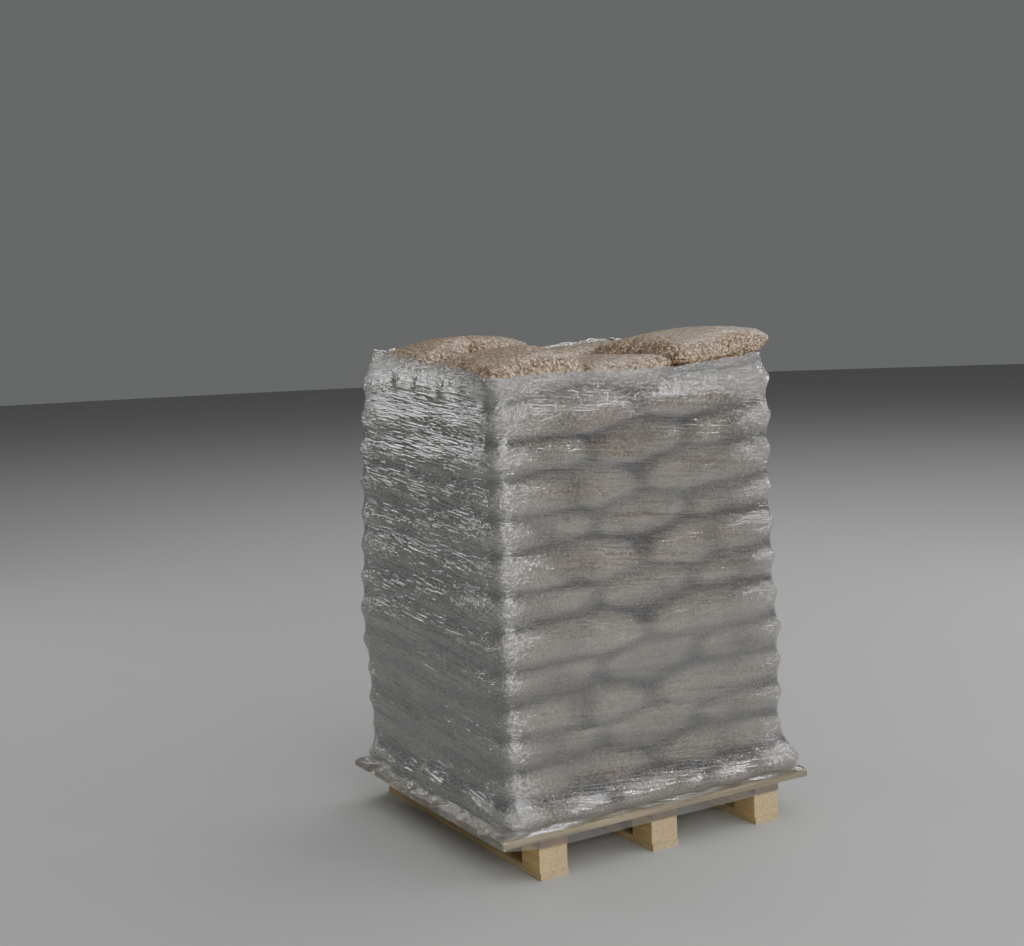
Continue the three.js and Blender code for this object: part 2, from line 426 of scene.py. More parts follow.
def lay_sack(number, index, box, lengthwise, edges, crown=None, tilt=0, lift=0):
    """A bag's copy in its box, pressed between its faces or, on top, rounded to its crown."""
    shape, along, across, through, press = bags[number % len(bags)]
    if (number // TURNED_AFTER) % 2:
        along, across = -along, -across
    u, v = (along, across) if lengthwise else (-across, along)
    left, front, right, back = box
    x = (left + right) / 2 + u * PACKED * (right - left) / 2
    y = (front + back) / 2 + v * PACKED * (back - front) / 2
    if index == 0:
        x, y = spread_out(x, y, through)
    low = face_height(index, x, y) + GAP
    below = 1 - (1 - np.clip(-through, 0, 1)) ** press
    if crown is None:
        high = face_height(index + 1, x, y) - GAP
        above = 1 - (1 - np.clip(through, 0, 1)) ** press
        edge = low + (high - low) * (edges[0] + (edges[1] - edges[0]) * (u + 1) / 2)
    else:
        high = plane_height(index, x) + crown + tilt * u * (1 - u ** 2)
        above = 1 - (1 - np.clip(through, 0, 1)) ** CROWN_PRESS
        low = low + lift * np.clip(u, 0, 1) ** 2
        edge = low + TOP_BULGE
    lumps = LUMP * np.sin(LUMPS_X * x + number) * np.sin(LUMPS_Y * y + 2 * number)
    z = edge + above * (high - edge) - below * (edge - low) + lumps * (above - below)
    mesh = shape.copy()
    mesh.name = f"sack_{number + 1:02d}"
    mesh.vertices.foreach_set("co", np.stack([x, y, z], axis=1).ravel())
    mesh.update()
    return mesh


sack_meshes = []
for index in range(LAYERS):
    for place, (box, lengthwise, in_front) in enumerate(layer_boxes(index)):
        edges = edge_heights(index, place, lengthwise, in_front)
        crown = ()
        if index == LAYERS - 1:
            crown = (CROWNS[place], CROWN_TILTS[place], END_LIFTS[place])
            box = (box[0] + OVERHANGS[place][0], box[1], box[2] + OVERHANGS[place][1], box[3])
        mesh = lay_sack(len(sack_meshes), index, box, lengthwise, edges, *crown)
        sack_meshes.append((mesh, index))
print("sacks:", len(sack_meshes), "of", len(sack_meshes[0][0].polygons), "faces")

# %% [markdown]
# ## Clear polythene over pellets
#
# What we see of a sack is its filling: pressed sawdust rods 6 mm across and 10 to 30 mm long,
# each a little lighter or darker, with deep shadow between them. Low-density polythene, 150
# microns thick, lies over them and gives the gloss, broken up by small creases. A pellet is a cell
# of a Voronoi pattern that is drawn out along one axis; its distance to the cell's middle makes the
# round back and the dark joint. A second, coarser pattern turns each small heap of pellets its own
# way, so that they lie about like spilled matches.

# %% Pellet sack material
PELLET = 6 * MM
PELLET_LENGTH = 17 * MM
PELLET_BACK = 2 * MM
HEAP = 24 * MM
CREASE, CREASE_DEPTH = 11 * MM, 10 * MM
PELLET_DARK, PELLET_TAN, PELLET_PALE = "#5a4228", "#a28260", "#f0dcb8"
PELLET_JOINT = "#2e2115"
PATCHES_PER_METRE = 9.0
POLYTHENE_IOR = 1.51


def pellet_sack_material():
    material, tree = new_material("polythene_over_pellets")
    place = add_node(tree, "ShaderNodeTexCoord").outputs["Object"]
    heaps = add_node(tree, "ShaderNodeTexVoronoi", {"Scale": 1 / HEAP}, {"Vector": place})
    spin = add_node(tree, "ShaderNodeVectorMath", {"operation": "SCALE", "Scale": math.tau},
                    {0: heaps.outputs["Color"]})
    turned = add_node(tree, "ShaderNodeVectorRotate", {"rotation_type": "EULER_XYZ"},
                      {"Vector": place, "Rotation": spin.outputs[0]})
    rods = add_node(tree, "ShaderNodeMapping",
                    {"Scale": (1 / PELLET_LENGTH, 1 / PELLET, 1 / PELLET)},
                    {"Vector": turned.outputs[0]})
    cells = add_node(tree, "ShaderNodeTexVoronoi", {"Scale": 1.0}, {"Vector": rods.outputs[0]})
    tone = add_node(tree, "ShaderNodeValToRGB", links={"Fac": cells.outputs["Color"]})
    ramp = tone.color_ramp
    ramp.elements[0].color = linear(PELLET_DARK)
    ramp.elements[1].color = linear(PELLET_PALE)
    middle = ramp.elements.new(0.5)
    middle.color = linear(PELLET_TAN)
    joint = add_node(tree, "ShaderNodeMapRange",
                     {"From Min": 0.38, "From Max": 0.75, "To Max": 0.9},
                     {"Value": cells.outputs["Distance"]})
    shaded = add_node(tree, "ShaderNodeMix", {"data_type": "RGBA", "B": linear(PELLET_JOINT)},
                      {"Factor": joint.outputs[0], "A": tone.outputs["Color"]})
    patches = add_node(tree, "ShaderNodeTexNoise", {"Scale": PATCHES_PER_METRE, "Detail": 3.0},
                       {"Vector": place})
    patch_tone = add_node(tree, "ShaderNodeMapRange",
                          {"From Min": 0.3, "From Max": 0.7, "To Min": 0.8, "To Max": 1.15},
                          {"Value": patches.outputs[0]})
    colour = add_node(tree, "ShaderNodeMix",
                      {"data_type": "RGBA", "blend_type": "MULTIPLY", "Factor": 1.0},
                      {"A": shaded.outputs[2], "B": patch_tone.outputs[0]})
    creases = add_node(tree, "ShaderNodeTexNoise",
                       {"Scale": 1 / CREASE, "Detail": 4.0, "Roughness": 0.6, "Distortion": 1.5},
                       {"Vector": place})
    backs = add_node(tree, "ShaderNodeBump",
                     {"Strength": 0.7, "Distance": PELLET_BACK, "invert": True},
                     {"Height": cells.outputs["Distance"]})
    creased = add_node(tree, "ShaderNodeBump", {"Strength": 1.0, "Distance": CREASE_DEPTH},
                       {"Height": creases.outputs[0]})
    gloss = add_node(tree, "ShaderNodeMapRange", {"To Min": 0.35, "To Max": 0.6},
                     {"Value": patches.outputs[0]})
    skin = add_node(tree, "ShaderNodeBsdfPrincipled",
                    {"IOR": POLYTHENE_IOR, "Coat Weight": 0.5, "Coat Roughness": 0.05,
                     "Coat IOR": POLYTHENE_IOR},
                    {"Base Color": colour.outputs[2], "Roughness": gloss.outputs[0],
                     "Normal": backs.outputs[0], "Coat Normal": creased.outputs[0]})
    add_node(tree, "ShaderNodeOutputMaterial", links={"Surface": skin.outputs[0]})
    return material


pellet_sack = pellet_sack_material()
for number, (mesh, index) in enumerate(sack_meshes):
    sack = add_piece(f"sack_{number + 1:02d}", mesh, pellet_sack,
                     [f"sack_layer_{index + 1:02d}"])
print("dressed", len(sack_meshes), "sacks")

# %% [markdown]
# ## Stretch film
#
# The film is wound round the load in many turns. It is tight, so it doesn't follow the sacks: it
# touches their bulges and runs straight from one to the next, a little hollow at the load's
# corners, where the tension pulls it inwards. That is a skin over an obstacle. We build a ring of
# columns round the load, measure with rays how far the sacks reach at each point, and then relax
# the skin: again and again each point moves to the mean of its neighbours, but never into a sack.
#
# The ring is an oblong with rounded corners. Its seam is in the middle of the back, where it
# shows least.

# %% Ring of columns
SIDE_COLUMNS = {"left": 92, "front": 108, "right": 92, "back": 108}
CORNER_COLUMNS = 16
CORNER_RADIUS = 30 * MM
START = 54


def ring_columns():
    """For each column: its two corners, the share between them and its outward turn."""
    columns = []
    for quarter, side in enumerate(("left", "front", "right", "back")):
        facing = math.pi + quarter * math.pi / 2
        for i in range(SIDE_COLUMNS[side]):
            columns.append((quarter, (quarter + 1) % 4, i / SIDE_COLUMNS[side], facing))
        for i in range(CORNER_COLUMNS):
            turn = facing + i / CORNER_COLUMNS * math.pi / 2
            columns.append(((quarter + 1) % 4, (quarter + 1) % 4, 0, turn))
    columns = columns[-START:] + columns[:-START]
    return [np.array(values) for values in zip(*columns)]


corner_a, corner_b, share, turn = ring_columns()
normal_x, normal_y = np.cos(turn), np.sin(turn)
COLUMNS = len(turn)


def ring_points(left, front, right, back, radius):
    """Points of the ring on a plan box; each side may be an array over the columns."""
    xs = np.stack([left + radius + 0 * turn, left + radius + 0 * turn,
                   right - radius + 0 * turn, right - radius + 0 * turn])
    ys = np.stack([back - radius + 0 * turn, front + radius + 0 * turn,
                   front + radius + 0 * turn, back - radius + 0 * turn])
    each = np.arange(COLUMNS)
    x = xs[corner_a, each] * (1 - share) + xs[corner_b, each] * share + radius * normal_x
    y = ys[corner_a, each] * (1 - share) + ys[corner_b, each] * share + radius * normal_y
    return x, y


print("columns:", COLUMNS)

# %% [markdown]
# The film's lower edge, its hem, laps over the edge of the deck: well below the boards on the long
# sides, just below them on the short ones. Its upper edge, the rim, is a little ragged, and it
# climbs to the back, where the sacks stand higher.

# %% Heights of hem and rim
DECK_CORNER = 3 * MM
FILM_OFF_DECK = 1.6 * MM
HEM_LOW, HEM_HIGH = 98 * MM, 119 * MM
HEM_CORNER = 150 * MM
RIM_LOW = 1522 * MM
RIM_RISE_RIGHT = 28 * MM
RIM_CLIMB_BACK, RIM_CLIMB_POWER = 85 * MM, 0.8
CLIMB_LOST_RIGHT = 0.3
LOAD_HALF = (0.5, 0.45)
TEARS, FRAYS = (9 * MM, 14, 0), (3 * MM, 45, 3)

deck_x, deck_y = ring_points(-DECK_HALF[0], -DECK_HALF[1], DECK_HALF[0], DECK_HALF[1], DECK_CORNER)
deck_x, deck_y = deck_x + FILM_OFF_DECK * normal_x, deck_y + FILM_OFF_DECK * normal_y


def hem_height(x, y):
    on_long_side = abs(y) > DECK_HALF[1]
    past_start = abs(x) - (DECK_HALF[0] - HEM_CORNER)
    low = HEM_LOW + max(0, past_start) * (HEM_HIGH - HEM_LOW) / HEM_CORNER
    return low if on_long_side else HEM_HIGH


def ragged(x, y, size, per_metre, layer):
    return size * noise.noise(Vector((per_metre * x, per_metre * y, layer)))


def rim_height(x, y):
    """Top edge of the film: low in the middle of the front, climbing to the back and to +X."""
    base = RIM_LOW + RIM_RISE_RIGHT * max(0, x / LOAD_HALF[0]) ** 2
    climb = RIM_CLIMB_BACK * max(0, (y + LOAD_HALF[1]) / (2 * LOAD_HALF[1])) ** RIM_CLIMB_POWER
    torn = ragged(x, y, *TEARS) + ragged(x, y, *FRAYS)
    return base + climb * (1 - CLIMB_LOST_RIGHT * (x + LOAD_HALF[0])) + torn


ridge_z = np.array([(plane_height(i, 0) + plane_height(i + 1, 0)) / 2 for i in range(LAYERS - 1)]
                   + [plane_height(LAYERS - 1, 0) + TOP_BULGE])
outlines = np.array([layer_outline(i) for i in range(LAYERS)])

plan_x, plan_y = ring_points(*(outlines.mean(0)), CORNER_RADIUS)
hems = np.array([hem_height(x, y) for x, y in zip(deck_x, deck_y)])
rims = np.array([rim_height(x, y) for x, y in zip(plan_x, plan_y)])
print("film from", hems.min().round(3), "to", rims.max().round(3), "m")

# %% [markdown]
# A base surface runs a little inside the sacks' outlines. From outside it, rays are shot inwards at
# each point of the grid, three close together, so that a thin groove doesn't swallow one. What they
# hit gives the sacks' reach over the base.

# %% Measure the sacks with rays
HEM_ROWS = 5
ROWS = 168
FOOT = DECK_TOP + 2 * MM
MIDDLE_LAYER = LAYERS // 2
FILM_BASE_INSET = 30 * MM
RAY_START = 250 * MM
RAY_NUDGES = (-2.8 * MM, 0, 2.8 * MM)
NO_SACK = -140 * MM


def search_tree(meshes):
    """The meshes' faces in one tree, which a ray searches fast."""
    points, faces, start = [], [], 0
    for mesh in meshes:
        points.extend(tuple(v.co) for v in mesh.vertices)
        faces.extend([[start + i for i in face.vertices] for face in mesh.polygons])
        start += len(mesh.vertices)
    return BVHTree.FromPolygons(points, faces)


pile = search_tree([mesh for mesh, _ in sack_meshes])
body_rows = ROWS - HEM_ROWS + 1
levels = np.linspace(0, 1, body_rows)
height = FOOT + np.outer(levels, rims - FOOT)
base_x, base_y = np.empty_like(height), np.empty_like(height)
for row in range(body_rows):
    flat_height = height[row] - plane_height(MIDDLE_LAYER, plan_x) + plane_height(MIDDLE_LAYER, 0)
    box = [np.interp(flat_height, ridge_z, outlines[:, side]) for side in range(4)]
    base_x[row], base_y[row] = ring_points(box[0] + FILM_BASE_INSET, box[1] + FILM_BASE_INSET,
                                           box[2] - FILM_BASE_INSET, box[3] - FILM_BASE_INSET,
                                           CORNER_RADIUS)

reach = np.full(height.shape, NO_SACK)
for row in range(body_rows):
    for column in range(COLUMNS):
        out = Vector((normal_x[column], normal_y[column], 0))
        start = Vector((base_x[row, column], base_y[row, column], 0)) + RAY_START * out
        for nudge in RAY_NUDGES:
            start.z = height[row, column] + nudge
            hit = pile.ray_cast(start, -out, RAY_START - NO_SACK)
            if hit[0] is not None:
                reach[row, column] = max(reach[row, column], RAY_START - hit[3])
print("rays:", reach.size, "reach up to", reach.max().round(3))

# %% [markdown]
# The tension runs along the winding, so in the mean the neighbours on the left and right count for
# more than those above and below. A small pull draws the skin into the gaps, harder at the corners
# and at the rim. How close the film then clings is kept for its material, blurred along the
# winding, and on the left side, where it was wound slack, blurred much more.

# %% Relax the film
FILM_GAP = 1.3 * MM
CORNER_GAP = 1.8 * MM
CLING_REACH = 22 * MM
CLING_BLUR = 16
SLACK_BLUR = 80
RELAX_STEPS = 500
FACE_PULL = 0.02 * MM
ALONG, UP = 0.40, 0.10
CORNER_PULL = 0.06 * MM
RIM_PULL = 0.15 * MM
RIM_REACH = 12 * MM
CORNER_BLUR = 6

in_corner = (corner_a == corner_b).astype(float)
near_corner = in_corner.copy()
for _ in range(CORNER_BLUR):
    near_corner = (near_corner + np.roll(near_corner, 1) + np.roll(near_corner, -1)) / 3
pull = FACE_PULL + CORNER_PULL * near_corner + RIM_PULL * np.exp((height - rims) / RIM_REACH)
touch = reach + FILM_GAP + CORNER_GAP * near_corner
film = np.maximum(touch, FILM_BASE_INSET)
for _ in range(RELAX_STEPS):
    up = np.vstack([film[1:], film[-1:]])
    down = np.vstack([film[:1], film[:-1]])
    mean = UP * (up + down) + ALONG * (np.roll(film, 1, axis=1) + np.roll(film, -1, axis=1))
    film = np.maximum(touch, mean - pull)
cling = np.exp(-(film - touch) / CLING_REACH)


def blurred_along(values, times):
    for _ in range(times):
        values = (2 * values + np.roll(values, 1, axis=1) + np.roll(values, -1, axis=1)) / 4
    return values


left_side = np.clip(-normal_x, 0, 1)
cling = ((1 - left_side) * blurred_along(cling, CLING_BLUR)
         + left_side * blurred_along(cling, SLACK_BLUR))
print("film stands off up to", (film - reach)[reach > NO_SACK].max().round(3), "m")

# %% [markdown]
# Below the bottom sacks' ridge the film slopes out to the deck's edge and hangs down over it as the
# hem. Rows of points for both are stacked, from hem to rim. The corners, which the tension
# gathers, get the most creases.

# %% Rows of the film
FIRST_RIDGE = 158 * MM
CREASES_REACH = 75 * MM
SLACK_ELSEWHERE = 0.4


def film_grid():
    """Rows of points from hem to rim, and how close the film clings at each."""
    down_to_deck = np.clip((FIRST_RIDGE - height) / (FIRST_RIDGE - DECK_TOP), 0, 1)
    x = base_x + film * normal_x
    y = base_y + film * normal_y
    x = x * (1 - down_to_deck) + deck_x * down_to_deck
    y = y * (1 - down_to_deck) + deck_y * down_to_deck
    rows = np.linspace(0, 1, HEM_ROWS)[:-1, None]
    hem_z = hems + rows * (FOOT - hems)
    hem_x = np.repeat(deck_x[None], HEM_ROWS - 1, 0) + 0 * hem_z
    hem_y = np.repeat(deck_y[None], HEM_ROWS - 1, 0) + 0 * hem_z
    points = np.stack([np.vstack([hem_x, x]), np.vstack([hem_y, y]), np.vstack([hem_z, height])],
                      axis=2)
    touching = np.vstack([np.zeros_like(hem_z), cling * (1 - down_to_deck)])
    return points, touching


def perimeter(points):
    steps = np.linalg.norm(np.diff(points, axis=0, append=points[:1]), axis=1)
    return np.concatenate([[0], np.cumsum(steps)])


points, touching = film_grid()
around = perimeter(points[len(points) // 2])
corner_middles = [around[:-1][(corner_a == i) & (corner_b == i)].mean() for i in range(4)]
to_corner = np.min([np.abs(around[:-1] - middle) for middle in corner_middles], axis=0)
creasing = np.exp(-to_corner / CREASES_REACH)
slackness = left_side + SLACK_ELSEWHERE * (1 - left_side)
print("film grid:", points.shape, "perimeter", around[-1].round(3), "m")

# %% [markdown]
# One grid is bent round the load onto these points. Small noise gives it ripples along the winding
# and crinkles where it is creased. Four attributes go with it for the material: cling, crease,
# slack, and clear for the skirt and hem, where few turns lie and the film is nearly clear.

# %% Shape the film mesh
RIPPLE, RIPPLE_ALONG, RIPPLE_UP = 0.7 * MM, 5, 140
CRINKLE, CRINKLE_ALONG, CRINKLE_UP, CRINKLE_LAYER = 3.2 * MM, 70, 50, 7
BASE_CREASE = 0.08
CORNER_CREASE, CORNER_CREASE_TAUT = 0.2, 0.8
RIM_CRINKLES = 30 * MM
CRUMPLED_X, CRUMPLED_WIDTH, CRUMPLED_DEPTH = 420 * MM, 150 * MM, 70 * MM
HEM_SLACK = 0.15
SKIRT_TOP = 174 * MM
SKIRT_SMOOTH = 0.3
SKIRT_CREASE = 0.7
LEFT_SKIRT_CLEAR = 0.7
WELD_WITHIN = 0.05 * MM


def film_mesh():
    row_count, column_count = touching.shape
    skin = bmesh.new()
    bmesh.ops.create_grid(skin, x_segments=column_count, y_segments=row_count - 1, size=1)
    cling_layer = skin.verts.layers.float.new("cling")
    crease_layer = skin.verts.layers.float.new("crease")
    slack_layer = skin.verts.layers.float.new("slack")
    clear_layer = skin.verts.layers.float.new("clear")
    cell = {}
    for vert in skin.verts:
        column = round((vert.co.x + 1) / 2 * column_count)
        row = round((vert.co.y + 1) / 2 * (row_count - 1))
        cell[vert] = (row, column)
    for vert, (row, column) in cell.items():
        at = column % column_count
        x, y, z = points[row, at]
        out = Vector((normal_x[at], normal_y[at], 0))
        s = around[column]
        ripple = RIPPLE * noise.noise(Vector((RIPPLE_ALONG * s, RIPPLE_UP * z, 0)))
        at_rim = math.exp((z - rims[at]) / RIM_CRINKLES)
        taut = CORNER_CREASE_TAUT * touching[row, at] ** 2
        crease = BASE_CREASE + at_rim + creasing[at] * (CORNER_CREASE + taut)
        if normal_y[at] < -0.5:
            crease += math.exp(-((x - CRUMPLED_X) / CRUMPLED_WIDTH) ** 2
                               + (z - rims[at]) / CRUMPLED_DEPTH)
        low = max(0, min(1, (SKIRT_TOP - z) / (SKIRT_TOP - DECK_TOP)))
        crease = min(1, crease + SKIRT_CREASE * low * left_side[at])
        crumple = noise.noise(Vector((CRINKLE_ALONG * s, CRINKLE_UP * z, CRINKLE_LAYER)))
        crinkle = CRINKLE * crease * crumple
        vert.co = Vector((x, y, z)) + out * (ripple + crinkle)
        vert[cling_layer] = touching[row, at]
        vert[crease_layer] = crease
        low *= 1 - (1 - LEFT_SKIRT_CLEAR) * left_side[at]
        in_hem = row < HEM_ROWS - 1
        vert[clear_layer] = 1 if in_hem else low
        vert[slack_layer] = HEM_SLACK if in_hem else slackness[at] * (1 - SKIRT_SMOOTH * low)
    bmesh.ops.remove_doubles(skin, verts=skin.verts, dist=WELD_WITHIN)
    bmesh.ops.recalc_face_normals(skin, faces=skin.faces)
    mesh = bpy.data.meshes.new("stretch_film")
    skin.to_mesh(mesh)
    skin.free()
    return mesh


film_skin = film_mesh()
print("film faces:", len(film_skin.polygons))

# %% [markdown]
# ## The film's finish
#
# Stretch film is linear low-density polythene, 23 microns thick and clear, yet many turns of it
# look milky. It was pulled round the load, so all its creases and thick places run along the
# winding. Milk needs something behind it: film on a sack looks pale and warm, and film over a gap
# dark and bluish, because no light comes back through it. That light and shade is painted into the
# milk's colour: a lit colour where the film clings to a sack, a painted shade over the gaps. The
# slack left side is hazier, and its milk is painted greyer, greener and darker, as painted shade
# for the side that gets less light. The skirt over the deck's edge is almost clear. At the load's
# corners the film crinkles and glints. Each turn mirrors a little, so the whole stack mirrors like
# a clear solid of a higher index.
#
# The milk is a matt, tinted shader with a low alpha, the haze, which streaks of three widths draw.
# The finest real streaks are under a millimetre, too fine to show, so they are drawn 5 mm wide.

# %% Stretch film material
FINE_STREAK = 5 * MM
BROAD_STREAK = 20 * MM
WEB = 130 * MM
WINDING_TILT = 0.09
GLINT_WIDTH, GLINT_LENGTH = 8 * MM, 90 * MM
FINE_LENGTH, BROAD_LENGTH, WEB_LENGTH = 4 * GLINT_LENGTH, 6 * GLINT_LENGTH, 8 * GLINT_LENGTH
CRINKLES_PER_METRE = (34, 34, 75)
LINE_DEPTH, CRINKLE_DEPTH = 5 * MM, 14 * MM
FILM_IOR, STACK_IOR = 1.5, 2.4
THIN_HAZE, THICK_HAZE, STREAK_HAZE = 0.08, 0.26, 0.36
SLACK_THIN_HAZE, SLACK_STREAK_HAZE, CREASE_HAZE = 0.25, 0.35, 0.12
OVER_GAP, OVER_GAP_SLACK = 0.7, 0.2
CLEARED = 0.9
# Share of the painted shade that darkens and greens the milk on the less lit left side.
LEFT_SHADE_SHARE = 0.6
# Milk colours with painted light and shade: a painted shade over the gaps, a lit colour on the
# sacks, and a painted shade for the less lit left side.
FILM_SHADED_OVER_GAP, FILM_LIT_ON_SACK, FILM_LEFT_PAINTED_SHADE = "#494e56", "#a39d95", "#767c74"


def stretch_film_material():
    material, tree = new_material("stretch_film_many_turns")
    place = add_node(tree, "ShaderNodeTexCoord").outputs["Object"]
    wound = add_node(tree, "ShaderNodeMapping", {"Rotation": (-WINDING_TILT, -WINDING_TILT, 0)},
                     {"Vector": place}).outputs[0]

    def streaks(width, length, detail):
        drawn = add_node(tree, "ShaderNodeMapping", {"Scale": (1 / length, 1 / length, 1 / width)},
                         {"Vector": wound})
        pattern = add_node(tree, "ShaderNodeTexNoise",
                           {"Scale": 1.0, "Detail": detail, "Roughness": 0.6},
                           {"Vector": drawn.outputs[0]})
        return pattern.outputs[0]

    fine = streaks(FINE_STREAK, FINE_LENGTH, 2.0)
    short = streaks(GLINT_WIDTH, GLINT_LENGTH, 1.0)
    broad = streaks(BROAD_STREAK, BROAD_LENGTH, 2.0)
    webs = streaks(WEB, WEB_LENGTH, 1.0)
    cling_here, crease_here, slack_here, clear_here = (
        add_node(tree, "ShaderNodeAttribute", {"attribute_name": name}).outputs["Fac"]
        for name in ("cling", "crease", "slack", "clear"))
    drawn_out = add_node(tree, "ShaderNodeMapping", {"Scale": CRINKLES_PER_METRE},
                         {"Vector": place}).outputs[0]
    crinkles = add_node(tree, "ShaderNodeTexNoise",
                        {"Scale": 1.0, "Detail": 3.0, "Roughness": 0.6, "Distortion": 1.0},
                        {"Vector": drawn_out}).outputs[0]
    both = add_node(tree, "ShaderNodeMix", {"Factor": 0.5}, {"A": fine, "B": broad}).outputs[0]
    least = add_node(tree, "ShaderNodeMapRange",
                     {"From Min": 0.35, "From Max": 0.65,
                      "To Min": THIN_HAZE, "To Max": THICK_HAZE},
                     {"Value": webs})
    least = add_node(tree, "ShaderNodeMath", {"operation": "MULTIPLY_ADD", 1: SLACK_THIN_HAZE},
                     {0: slack_here, 2: least.outputs[0]}).outputs[0]
    most = add_node(tree, "ShaderNodeMath",
                    {"operation": "MULTIPLY_ADD", 1: SLACK_STREAK_HAZE, 2: STREAK_HAZE},
                    {0: slack_here}).outputs[0]
    streak_haze = add_node(tree, "ShaderNodeMapRange", {"From Min": 0.38, "From Max": 0.64},
                           {"Value": both, "To Min": least, "To Max": most}).outputs[0]
    over_gap = add_node(tree, "ShaderNodeMath",
                        {"operation": "MULTIPLY_ADD", 1: OVER_GAP_SLACK, 2: OVER_GAP},
                        {0: slack_here}).outputs[0]
    backed = add_node(tree, "ShaderNodeMapRange", {"To Max": 1.0},
                      {"Value": cling_here, "To Min": over_gap}).outputs[0]
    kept = add_node(tree, "ShaderNodeMath", {"operation": "MULTIPLY_ADD", 1: -CLEARED, 2: 1.0},
                    {0: clear_here}).outputs[0]
    backed = add_node(tree, "ShaderNodeMath", {"operation": "MULTIPLY"},
                      {0: backed, 1: kept}).outputs[0]
    streak_haze = add_node(tree, "ShaderNodeMath", {"operation": "MULTIPLY"},
                           {0: streak_haze, 1: backed}).outputs[0]
    haze = add_node(tree, "ShaderNodeMath",
                    {"operation": "MULTIPLY_ADD", 1: CREASE_HAZE, "use_clamp": True},
                    {0: crease_here, 2: streak_haze})
    relief = add_node(tree, "ShaderNodeMix", {"Factor": 0.6}, {"A": fine, "B": short}).outputs[0]
    loose = add_node(tree, "ShaderNodeMath", {"operation": "MAXIMUM"},
                     {0: slack_here, 1: crease_here})
    lines = add_node(tree, "ShaderNodeBump", {"Distance": LINE_DEPTH},
                     {"Height": relief, "Strength": loose.outputs[0]})
    creased = add_node(tree, "ShaderNodeBump", {"Distance": CRINKLE_DEPTH},
                       {"Height": crinkles, "Strength": crease_here, "Normal": lines.outputs[0]})
    # Painted light and shade: the milk takes the lit colour where the film clings to a sack or is
    # nearly clear, and the painted shade over the gaps.
    pale = add_node(tree, "ShaderNodeMath", {"operation": "MAXIMUM"},
                    {0: cling_here, 1: clear_here})
    shade = add_node(tree, "ShaderNodeMix",
                     {"data_type": "RGBA", "A": linear(FILM_SHADED_OVER_GAP), "B": linear(FILM_LIT_ON_SACK)},
                     {"Factor": pale.outputs[0]})
    # Painted shade on the left side, which gets less light: its milk is mixed towards a darker grey
    # green.
    left_shade = add_node(tree, "ShaderNodeMapRange",
                          {"From Min": SLACK_ELSEWHERE, "From Max": 1.0,
                           "To Min": 0.0, "To Max": LEFT_SHADE_SHARE},
                          {"Value": slack_here})
    shade = add_node(tree, "ShaderNodeMix", {"data_type": "RGBA", "B": linear(FILM_LEFT_PAINTED_SHADE)},
                     {"Factor": left_shade.outputs[0], "A": shade.outputs[2]})
    milk = add_node(tree, "ShaderNodeBsdfPrincipled", {"Roughness": 0.5, "IOR": FILM_IOR},
                    {"Base Color": shade.outputs[2], "Alpha": haze.outputs[0],
                     "Normal": creased.outputs[0]})
    mirror = add_node(tree, "ShaderNodeBsdfAnisotropic",
                      {"Color": linear("#ffffff"), "Roughness": 0.05},
                      {"Normal": creased.outputs[0]})
    share = add_node(tree, "ShaderNodeFresnel", {"IOR": STACK_IOR}, {"Normal": creased.outputs[0]})
    film = add_node(tree, "ShaderNodeMixShader",
                    links={0: share.outputs[0], 1: milk.outputs[0], 2: mirror.outputs[0]})
    add_node(tree, "ShaderNodeOutputMaterial", links={"Surface": film.outputs[0]})
    return material


stretch_film = stretch_film_material()
wrap = add_piece("stretch_film_skin", film_skin, stretch_film, ["stretch_wrap"])
print("film on", wrap.name)

# %% [markdown]
# ## Sawn pine
#
# The pallet is rough-sawn pine, dried and left unplaned. Sawing leaves a fuzzy, matt face with the
# grain drawn out along the board, end grain on the cut ends and a few grey and pink patches. The
# timber keeps its solids, so only the material changes. One function makes it for each direction
# of the grain.

# %% Timber materials
GRAIN = 7 * MM
GRAIN_STRETCH = 30
BLOTCHES_PER_METRE, FUZZ_PER_METRE = 7.0, 400.0
SAW_MARKS = 1.2 * MM
WEATHERED_PINE = "#8d8371"
PINE_IOR = 1.5


